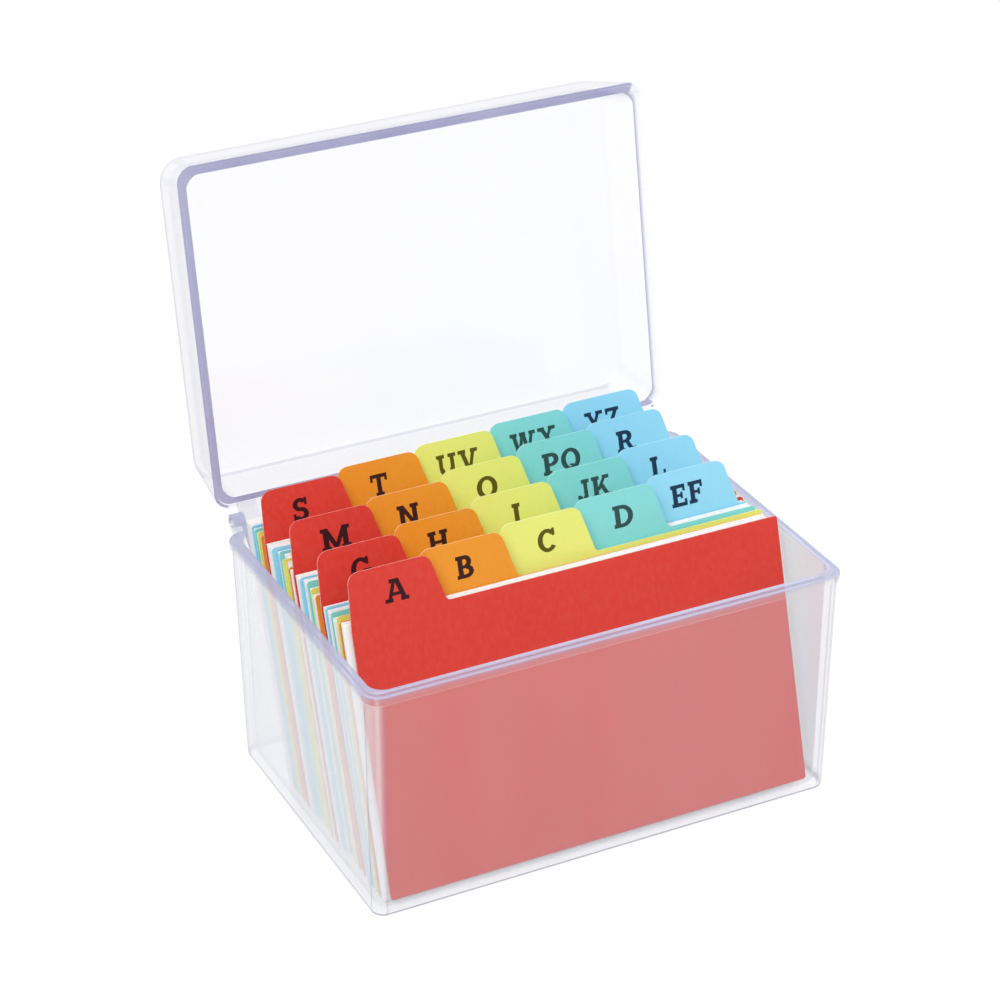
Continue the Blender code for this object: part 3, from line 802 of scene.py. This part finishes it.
def glyph(letter):
    """(strokes, width) of a slab serif capital, in millimetres."""
    top = CAP - BAR
    mid = CAP / 2
    if letter == "A":
        strokes = [leg(1.1, 0, 3.25, CAP, 1.05), leg(5.9, 0, 3.75, CAP, 1.4), bar(1.9, 2.0, 5.1, 2.95)]
        return strokes + [bar(0, 0, 2.3, BAR), bar(4.6, 0, 7.0, BAR), bar(1.7, top, 3.9, CAP)], 7.0
    if letter == "B":
        strokes = stem(1.35, (1.35, 1.8), (1.35, 1.7)) + [bar(1.5, mid - 0.45, 3.2, mid + 0.5)]
        strokes.append(bowl(2.9, 5.22, 2.15, 2.08, -90, 90))
        return strokes + [bowl(3.0, 2.07, 2.55, 2.07, -90, 90)], 5.55
    if letter in "CG":
        strokes = [bowl(3.1, mid, 3.1, 3.78, 40, 322), bar(4.75, 4.95, 5.6, 7.35)]
        if letter == "C":
            return strokes, 5.9
        return strokes + [bar(3.6, 2.6, 6.3, 3.55), bar(4.75, 0.6, 6.0, 3.0)], 6.3
    if letter == "D":
        strokes = stem(1.35, (1.35, 1.6), (1.35, 1.6))
        return strokes + [bowl(2.7, mid, 3.6, mid, -90, 90)], 6.3
    if letter in "EF":
        strokes = stem(1.35, None if letter == "E" else (1.35, 1.45), None)
        strokes += [bar(0, top, 5.0, CAP), bar(4.2, 5.0, 5.0, CAP)]
        strokes += [bar(1.5, mid - 0.4, 3.9, mid + 0.5), bar(3.3, mid - 1.0, 4.05, mid + 1.1)]
        if letter == "F":
            return strokes, 5.0
        return strokes + [bar(0, 0, 5.4, BAR), bar(4.6, 0, 5.4, 2.35)], 5.4
    if letter == "H":
        return stem(1.4) + stem(5.3) + [bar(1.5, mid - 0.5, 5.2, mid + 0.5)], 6.7
    if letter == "I":
        return stem(1.4), 2.8
    if letter == "J":
        strokes = stem(3.1, None)[1:] + [bar(2.45, 1.9, 3.75, CAP)]
        return strokes + [bowl(1.95, 1.9, 1.8, 1.95, 180, 360), bar(0.15, 1.2, 1.3, 2.3)], 4.5
    if letter == "K":
        strokes = stem(1.4) + [leg(2.2, 2.5, 5.0, CAP, 1.15), leg(3.3, 4.4, 5.6, 0, 1.5)]
        return strokes + [bar(3.9, top, 6.2, CAP), bar(4.4, 0, 6.8, BAR)], 6.8
    if letter == "L":
        return stem(1.4, (1.4, 3.8)) + [bar(4.4, 0, 5.2, 2.5)], 5.2
    if letter == "M":
        strokes = stem(1.5, (1.5, 1.3), (1.5, 0.6)) + stem(7.3, (1.3, 1.5), (0.6, 1.5))
        return strokes + [leg(1.5, CAP, 4.4, 0.7, 1.45), leg(7.3, CAP, 4.4, 0.7, 1.3)], 8.8
    if letter == "N":
        strokes = stem(1.5, (1.5, 1.4), (1.5, 0.4)) + stem(5.8, (0.6, 0.65), (1.4, 1.4))
        return strokes + [leg(1.5, CAP, 5.75, 0, 1.5)], 7.2
    if letter in "OQ":
        strokes = [bowl(3.2, mid, 3.2, 3.78, -4, 184), bowl(3.2, mid, 3.2, 3.78, 176, 364)]
        if letter == "O":
            return strokes, 6.4
        return strokes + [leg(3.1, 2.1, 5.3, -0.1, 1.3), bar(4.7, -0.25, 6.9, 0.7)], 6.9
    if letter in "PR":
        strokes = stem(1.35, (1.35, 1.5), (1.35, 1.7))
        if letter == "P":
            return strokes + [bowl(2.9, 5.05, 2.45, 2.25, -90, 90), bar(1.5, 2.8, 3.0, 3.8)], 5.35
        strokes += [bowl(2.9, 5.2, 2.4, 2.1, -90, 90), bar(1.5, 3.1, 3.0, 4.1)]
        return strokes + [leg(3.4, 3.6, 5.2, 0, 1.45), bar(4.5, 0, 6.5, BAR)], 6.5
    if letter == "S":
        low = 2.22
        high = (CAP + 0.2 + BAR) / 2 - low
        strokes = [bowl(2.6, CAP + 0.1 - high, 2.35, high, 25, 272)]
        strokes.append(bowl(2.6, low - 0.1, 2.55, low, -155, 92))
        return strokes + [bar(4.15, 5.0, 4.95, CAP + 0.05), bar(0.15, 0, 0.95, 2.4)], 5.2
    if letter == "T":
        strokes = stem(3.1, (1.5, 1.5), (3.1, 3.1))
        return strokes + [bar(0, 4.9, 0.85, CAP), bar(5.35, 4.9, 6.2, CAP)], 6.2
    if letter == "U":
        strokes = stem(1.4, None)[1:] + stem(5.4, None)[1:]
        strokes += [bar(0.75, 2.6, 2.05, CAP), bar(4.75, 2.6, 6.05, CAP)]
        return strokes + [bowl(3.4, 2.6, 2.65, 2.7, 180, 360)], 6.8
    if letter == "V":
        strokes = [leg(1.3, CAP, 3.4, 0, 1.45), leg(5.6, CAP, 3.6, 0, 1.15)]
        return strokes + [bar(0, top, 2.7, CAP), bar(4.4, top, 6.9, CAP)], 6.9
    if letter == "W":
        strokes = [leg(1.2, CAP, 2.75, 0, 1.35), leg(4.55, CAP, 2.9, 0, 1.1)]
        strokes += [leg(4.55, CAP, 6.1, 0, 1.35), leg(7.9, CAP, 6.25, 0, 1.1)]
        return strokes + [bar(0, top, 2.5, CAP), bar(3.4, top, 5.6, CAP), bar(6.8, top, 9.1, CAP)], 9.1
    if letter == "X":
        strokes = [leg(1.4, CAP, 5.2, 0, 1.5), leg(5.2, CAP, 1.4, 0, 1.1)]
        strokes += [bar(0.1, top, 2.6, CAP), bar(4.0, top, 6.5, CAP)]
        return strokes + [bar(0, 0, 2.5, BAR), bar(4.1, 0, 6.6, BAR)], 6.6
    if letter == "Y":
        strokes = [leg(1.3, CAP, 3.3, 2.9, 1.4), leg(5.3, CAP, 3.3, 2.9, 1.15), bar(2.65, 0, 3.95, 3.4)]
        strokes += [bar(0, top, 2.5, CAP), bar(4.1, top, 6.6, CAP)]
        return strokes + [bar(2.0, 0, 4.6, BAR)], 6.6
    strokes = [leg(4.5, CAP, 1.0, 0, 1.45), bar(0.3, top, 5.2, CAP), bar(0.3, 5.2, 1.1, CAP)]
    return strokes + [bar(0.2, 0, 5.3, BAR), bar(4.5, 0, 5.3, 2.1)], 5.3


def merged_triangles(loops, extra_points=()):
    """(points, triangles) covering the union of closed loops, with extra points inside it."""
    points = []
    faces = []
    for loop in loops:
        area = sum(a[0] * b[1] - b[0] * a[1] for a, b in zip(loop, loop[1:] + loop[:1]))
        loop = loop if area > 0 else loop[::-1]
        faces.append(list(range(len(points), len(points) + len(loop))))
        points.extend(Vector(p) for p in loop)
    points.extend(Vector(p) for p in extra_points)
    found = delaunay_2d_cdt(points, [], faces, 0, 1e-4)
    out_points, out_faces, origins = found[0], found[2], found[5]
    kept = [face for face, origin in zip(out_faces, origins) if origin]
    return out_points, kept


def slab(builder, points, triangles, front, back):
    """A closed slab: front and back give the two sides of a flat pattern. Returns the side faces."""
    used = sorted({index for face in triangles for index in face})
    near = {index: builder.verts.new(front(*points[index])) for index in used}
    far = {index: builder.verts.new(back(*points[index])) for index in used}
    edges = []
    for face in triangles:
        builder.faces.new([near[i] for i in face])
        builder.faces.new([far[i] for i in reversed(face)])
        edges.extend(zip(face, face[1:] + face[:1]))
    known = set(edges)
    sides = []
    for a, b in edges:
        if (b, a) not in known:
            sides.append(builder.faces.new((near[b], near[a], far[a], far[b])))
    return sides


# ---------------------------------------------------------------- guides and cards

# how far a guide bows back and its tab curls and twists, in mm, and over what width
BOW_PER_GUIDE = 0.03
BOW_WIDTH = 30.0
CURL = 0.16
TWIST = 0.12
TWIST_WIDTH = 9.0


class Sheet:
    """Where a guide stands: its foot, its lean and the slight bow across its width."""

    def __init__(self, label, index):
        axis = next(j["axis"] for j in frame["joints"] if j["name"] == "lift_guide_" + label)
        low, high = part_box("guide_" + label)
        self.lean = math.atan2(axis[1], axis[2])
        self.index = index
        self.x = (low.x + high.x) / 2 / MM
        self.y = low.y / MM
        self.z = low.z / MM + GUIDE_THICKNESS * math.sin(self.lean)
        self.up = Vector((0.0, math.sin(self.lean), math.cos(self.lean)))
        self.back = Vector((0.0, math.cos(self.lean), -math.sin(self.lean)))
        self.curl = random.uniform(-CURL, CURL)
        self.twist = random.uniform(-TWIST, TWIST)

    def bow(self, x):
        """How far the sheet stands back at x: flat in front, gently bowed towards the back of the file."""
        return BOW_PER_GUIDE * self.index * (0.5 - math.cos(x / BOW_WIDTH) * 0.5)

    def point(self, x, height, depth=0.0):
        """A point of the sheet in the frame: x in the file, height up the sheet, depth behind its face."""
        shift = depth + self.bow(x)
        above = max(0.0, height - GUIDE_HEIGHT) / TAB_HEIGHT
        shift += self.curl * above * above + self.twist * above * math.sin(x / TWIST_WIDTH)
        return Vector((x, self.y, self.z)) + self.up * height + self.back * shift


def guide_outline(position):
    """The face of a guide whose tab is the position-th from the left, from 0."""
    half = GUIDE_WIDTH / 2
    top = GUIDE_HEIGHT + TAB_HEIGHT
    left = TAB_FIRST_X + TAB_PITCH * position
    right = left + TAB_TOP_WIDTH
    corners = [
        (-half, 0.0, GUIDE_CORNER_RADIUS),
        (half, 0.0, GUIDE_CORNER_RADIUS),
        (half, GUIDE_HEIGHT, GUIDE_CORNER_RADIUS),
        (right + TAB_SLANT, GUIDE_HEIGHT, TAB_ROOT_RADIUS),
        (right, top, TAB_TOP_RADIUS),
        (left, top, TAB_TOP_RADIUS),
    ]
    if position == 0:
        corners.append((-half, GUIDE_HEIGHT - FIRST_TAB_ROOT_DROP, 0.0))
    else:
        corners.append((left - TAB_SLANT, GUIDE_HEIGHT, TAB_ROOT_RADIUS))
        corners.append((-half, GUIDE_HEIGHT, GUIDE_CORNER_RADIUS))
    return fillet(corners, steps=GUIDE_CORNER_STEPS)


def split_long(outline, longest):
    """The outline with points added so that no stretch of it is longer than longest."""
    points = []
    for (x0, y0), (x1, y1) in zip(outline, outline[1:] + outline[:1]):
        count = max(1, math.ceil(math.hypot(x1 - x0, y1 - y0) / longest))
        points += [(x0 + (x1 - x0) * k / count, y0 + (y1 - y0) * k / count) for k in range(count)]
    return points


# spacing of the points inside a guide, and how far they keep from its top edge and from the tab's edges
GRID = 4.0
GRID_START = (0.13, 0.21)
TOP_MARGIN = 3.0
TAB_MARGIN = 1.0
LETTER_BASE = GUIDE_HEIGHT + 3.15
LETTER_GAP = 0.7
INK_PROUD = 0.05
INK_SUNK = 0.02


def guide_grid(position):
    """Points inside a guide's face, so that it can bow and its tab can curl."""
    grid = []
    across = int(GUIDE_WIDTH / GRID)
    up = int((GUIDE_HEIGHT + TAB_HEIGHT) / GRID) + 1
    tab_from = TAB_FIRST_X + TAB_PITCH * position + TAB_MARGIN
    tab_to = tab_from + TAB_TOP_WIDTH - 2 * TAB_MARGIN
    tab_top = GUIDE_HEIGHT + TAB_HEIGHT - TAB_MARGIN
    for i in range(1, across):
        x = -GUIDE_WIDTH / 2 + GRID * i + GRID_START[0]
        for k in range(1, up):
            height = GRID * k + GRID_START[1]
            in_tab = tab_from < x < tab_to and height < tab_top
            if height < GUIDE_HEIGHT - TOP_MARGIN or in_tab:
                grid.append((x, height))
    return grid


def build_guide(label, sheet, board, edge):
    """One guide's board, dyed on its faces and pale on its cut edges."""
    position = sheet.index % len(TAB_NAMES)
    outline = split_long(guide_outline(position), GRID)
    points, triangles = merged_triangles([outline], guide_grid(position))
    builder = bmesh.new()
    sides = slab(
        builder,
        points,
        triangles,
        lambda x, h: sheet.point(sheet.x + x, h),
        lambda x, h: sheet.point(sheet.x + x, h, GUIDE_THICKNESS),
    )
    for face in sides:
        face.material_index = 1
    guide = link("board_" + label, to_mesh("board_" + label, builder), board)
    guide.data.materials.append(edge)
    smooth_by_angle(guide, PAPER_SMOOTH_DEG)
    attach(guide, "guide_" + label)
    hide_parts("guide_" + label)


def build_letters(label, sheet, ink):
    """A guide's index letters, printed in the middle of its tab."""
    position = sheet.index % len(TAB_NAMES)
    glyphs = [glyph(letter) + (LETTER_WIDE * STRETCH.get(letter, 1.0),) for letter in label]
    total = sum(width * wide for _, width, wide in glyphs) + LETTER_GAP * (len(label) - 1)
    cursor = TAB_FIRST_X + TAB_PITCH * position + TAB_TOP_WIDTH / 2 + LABELS[label] - total / 2
    builder = bmesh.new()
    for strokes, width, wide in glyphs:
        placed = []
        for stroke in strokes:
            placed.append([(x * wide + cursor, y * LETTER_TALL + LETTER_BASE) for x, y in stroke])
        points, triangles = merged_triangles(placed)
        slab(
            builder,
            points,
            triangles,
            lambda x, h: sheet.point(sheet.x + x, h, -INK_PROUD),
            lambda x, h: sheet.point(sheet.x + x, h, INK_SUNK),
        )
        cursor += width * wide + LETTER_GAP
    letters = link("letters_" + label, to_mesh("letters_" + label, builder), ink)
    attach(letters, "guide_" + label)


# pieces a card is bent along, and how loosely the cards stand
CARD_COLUMNS = 16
CARD_TOP_CLEARANCE = 0.25
SPACING_PLAY = 0.12
SIDE_PLAY = 0.1
ROLL_PLAY = 0.0022
LIFTS = (0.0, 0.0, 0.05, 0.1, 0.15)


def add_face(builder, uv, corners):
    """A face from (vertex, place) pairs, with each place written in its UV."""
    face = builder.faces.new([vertex for vertex, _ in corners])
    for loop, (_, place) in zip(face.loops, corners):
        loop[uv].uv = place


def build_cards(label, sheet, after, depth, material):
    """The cards behind a guide. after is the next guide, or None for the last, whose cards fill depth."""
    low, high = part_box("cards_" + label)
    middle_x = (low.x + high.x) / 2 / MM
    tall = (high.z - low.z) / MM / math.cos(sheet.lean)
    first = GUIDE_THICKNESS + PART_GAP

    def behind(x, height, share):
        """A point share of the way from this guide's back to the next guide's face."""
        front = sheet.point(x, height, first)
        if after is None:
            back = sheet.point(x, height) + Vector((0.0, depth / math.cos(sheet.lean), 0.0))
        else:
            back = after.point(x, height, -PART_GAP)
        return front.lerp(back, share)

    room = (behind(0.0, 0.0, 1.0) - behind(0.0, 0.0, 0.0)).dot(sheet.back)
    count = max(2, int(room / CARD_PITCH))
    builder = bmesh.new()
    uv = builder.loops.layers.uv.new("UVMap")
    for index in range(count):
        share = (index + 0.5 + random.uniform(-SPACING_PLAY, SPACING_PLAY)) / count
        near = share - CARD_THICKNESS / 2 / room
        far = share + CARD_THICKNESS / 2 / room
        shift_x = middle_x + random.uniform(-SIDE_PLAY, SIDE_PLAY)
        lift = random.choice(LIFTS)
        roll = random.uniform(-ROLL_PLAY, ROLL_PLAY)
        columns = []
        for column in range(CARD_COLUMNS + 1):
            u = CARD_WIDTH * (column / CARD_COLUMNS - 0.5)
            base = lift + abs(roll) * CARD_WIDTH / 2 + roll * u
            top = base + tall - CARD_TOP_CLEARANCE
            corners = []
            for part, height in ((near, base), (near, top), (far, top), (far, base)):
                vertex = builder.verts.new(behind(shift_x + u, height, part))
                corners.append((vertex, (u * MM, (height - base) * MM)))
            columns.append(corners)
        for left, right in zip(columns, columns[1:]):
            for k in range(4):
                after_k = (k + 1) % 4
                add_face(builder, uv, (left[k], right[k], right[after_k], left[after_k]))
        add_face(builder, uv, columns[0])
        add_face(builder, uv, columns[-1][::-1])
    cards = link("sheets_" + label, to_mesh("sheets_" + label, builder), material)
    smooth_by_angle(cards, PAPER_SMOOTH_DEG)
    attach(cards, "cards_" + label)
    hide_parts("cards_" + label)


def build_contents():
    """All guides with their letters, and the cards behind each of them."""
    boards = {name: board_material(name, BOARD[name]) for name in TAB_NAMES}
    edges = {name: edge_material(name, BOARD[name]) for name in TAB_NAMES}
    inks = {name: ink_material(name, INK[name]) for name in TAB_NAMES}
    stock = card_material()
    sheets = [Sheet(label, index) for index, label in enumerate(LABELS)]
    last = sheets[-1]
    low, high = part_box("cards_YZ")
    back_foot_y = high.y / MM - (high.z - low.z) / MM * math.tan(last.lean)
    depth = (back_foot_y - last.y) * math.cos(last.lean)
    for index, label in enumerate(LABELS):
        name = TAB_NAMES[index % len(TAB_NAMES)]
        sheet = sheets[index]
        after = sheets[index + 1] if index + 1 < len(sheets) else None
        build_guide(label, sheet, boards[name], edges[name])
        build_letters(label, sheet, inks[name])
        build_cards(label, sheet, after, depth, stock)


# ---------------------------------------------------------------- stage

FLOOR_GLOW = 0.90
BOUNCE_GLOW = 0.52
FLOOR_DARK = (0.115, 0.115, 0.115)
FLOOR_LIGHT = (0.125, 0.125, 0.125)
FLOOR_HALF_SIZE = 6000.0
FLOOR_DROP = 0.05


def build_floor():
    """A wide white table top, brighter to the eye than in the light it throws up on the box."""
    shader = Shader("table_top")
    grain = shader.noise(shader.place(), 6.0, 2.0)
    shader.set(
        Base_Color=shader.mix(grain, rgba(FLOOR_DARK), rgba(FLOOR_LIGHT)),
        Roughness=0.9,
        Emission_Color=(1.0, 1.0, 1.0, 1.0),
    )
    path = shader.node("ShaderNodeLightPath")
    bounced = path.outputs["Is Diffuse Ray"]
    glow = shader.math("MULTIPLY_ADD", bounced, BOUNCE_GLOW - FLOOR_GLOW, FLOOR_GLOW)
    shader.feed(shader.surface.inputs["Emission Strength"], glow)
    shader.surface.inputs["Specular IOR Level"].default_value = 0.1
    builder = bmesh.new()
    bmesh.ops.create_grid(builder, x_segments=8, y_segments=8, size=FLOOR_HALF_SIZE)
    for vert in builder.verts:
        vert.co.z = -FLOOR_DROP
    floor = link("floor", to_mesh("floor", builder), shader.material)


SKY_STRENGTH = 0.78
SKY_LOW = (0.62, 0.62, 0.68)
SKY_HIGH = (1.0, 1.0, 1.0)
SKY_HIGH_AT = 0.55


def build_sky():
    """A soft pale sky; the camera itself sees a plain white backdrop."""
    world = bpy.data.worlds.new("studio")
    bpy.context.scene.world = world
    world.use_nodes = True
    nodes = world.node_tree.nodes
    links = world.node_tree.links
    background = nodes["Background"]
    where = nodes.new("ShaderNodeTexCoord")
    split = nodes.new("ShaderNodeSeparateXYZ")
    links.new(where.outputs["Generated"], split.inputs[0])
    ramp = nodes.new("ShaderNodeValToRGB")
    low, high = ramp.color_ramp.elements
    low.color = rgba(SKY_LOW)
    high.color = rgba(SKY_HIGH)
    high.position = SKY_HIGH_AT
    links.new(split.outputs[2], ramp.inputs[0])
    links.new(ramp.outputs[0], background.inputs["Color"])
    background.inputs["Strength"].default_value = SKY_STRENGTH
    backdrop = nodes.new("ShaderNodeBackground")
    path = nodes.new("ShaderNodeLightPath")
    shown = nodes.new("ShaderNodeMixShader")
    links.new(path.outputs["Is Camera Ray"], shown.inputs[0])
    links.new(background.outputs[0], shown.inputs[1])
    links.new(backdrop.outputs[0], shown.inputs[2])
    links.new(shown.outputs[0], nodes["World Output"].inputs["Surface"])
    backdrop.inputs["Color"].default_value = rgba(SKY_HIGH)


def add_panel(name, place, target_z, size, power):
    """A large soft lamp at place, in metres, aimed at a point above the middle of the box."""
    lamp = bpy.data.lights.new(name, "AREA")
    lamp.shape = "RECTANGLE"
    lamp.size = size[0]
    lamp.size_y = size[1]
    lamp.energy = power
    thing = bpy.data.objects.new(name, lamp)
    thing.location = place
    aim = Vector((0.0, 0.0, target_z)) - Vector(place)
    thing.rotation_euler = aim.to_track_quat("-Z", "Y").to_euler()
    bpy.context.scene.collection.objects.link(thing)


def build_lamps():
    """A key lamp at the front left, a fill at the front right and a lamp behind."""
    add_panel("key", (-0.9, -0.7, 1.3), 0.05, (1.0, 0.8), 13.0)
    add_panel("fill", (1.1, -0.6, 0.9), 0.05, (0.9, 0.9), 6.0)
    add_panel("back", (0.2, 1.2, 1.2), 0.08, (1.4, 0.7), 6.0)


CAMERA_PLACE = (-331.2, -653.5, 486.1)
CAMERA_AZIMUTH_DEG = 26.22
CAMERA_DOWN_DEG = 28.63
CAMERA_ROLL_DEG = -0.5
FOCAL_PX = 3109.5
FRAME_PX = 1000.0
SENSOR = 36.0


def build_camera():
    """The camera, placed in mm, with its focal length in units of the 1000-wide frame."""
    camera = bpy.data.cameras.new("camera")
    camera.sensor_width = SENSOR
    camera.lens = FOCAL_PX / FRAME_PX * SENSOR
    camera.clip_start = 0.01
    camera.clip_end = 50.0
    thing = bpy.data.objects.new("camera", camera)
    azimuth = math.radians(CAMERA_AZIMUTH_DEG)
    down = math.radians(CAMERA_DOWN_DEG)
    level = math.cos(down)
    forward = Vector((math.sin(azimuth) * level, math.cos(azimuth) * level, -math.sin(down)))
    turn = forward.to_track_quat("-Z", "Y").to_matrix().to_4x4()
    turn = turn @ Matrix.Rotation(math.radians(CAMERA_ROLL_DEG), 4, "Z")
    thing.matrix_world = Matrix.Translation(Vector(CAMERA_PLACE) * MM) @ turn
    bpy.context.scene.collection.objects.link(thing)
    bpy.context.scene.camera = thing


build_box(plastic_material("clear_box"))
build_lid(plastic_material("clear_lid"))
build_contents()
build_floor()
build_sky()
build_lamps()
build_camera()

scene = bpy.context.scene
scene.view_settings.view_transform = "Standard"
# the guides behind clear plastic come out cleaner when the denoiser reads colour only
scene.cycles.denoising_input_passes = "RGB"
scene.cycles.max_bounces = 32
scene.cycles.glossy_bounces = 16
scene.cycles.transmission_bounces = 24
scene.cycles.transparent_max_bounces = 24
